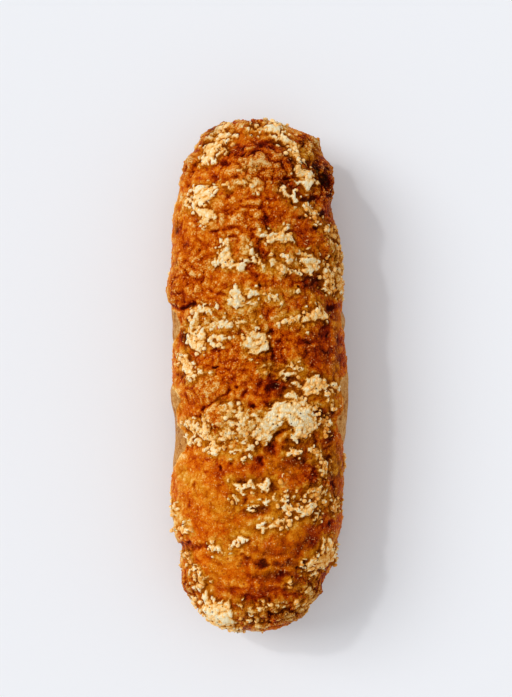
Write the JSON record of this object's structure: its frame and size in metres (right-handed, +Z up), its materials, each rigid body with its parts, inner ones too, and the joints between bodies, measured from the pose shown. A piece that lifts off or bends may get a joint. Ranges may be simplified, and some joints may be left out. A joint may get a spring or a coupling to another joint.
{
  "type": "parmesan crust bread",
  "caption": "Oblong loaf of bread under a thick, lumpy, browned crust of baked-on parmesan cheese, lying on its flat base",
  "frame": {"origin": "middle of the bounding box in X and Y, on the plane of the flat base", "axes": "+Y runs along the loaf to its blunter end, +X to its right flank, +Z up through the cheese crust"},
  "size_m": [0.1146, 0.321, 0.078],
  "materials": {
    "crust": "browned cheese crust, satin"
  },
  "bodies": {
    "root": {"loaf": "crust"}
  },
  "joints": []
}
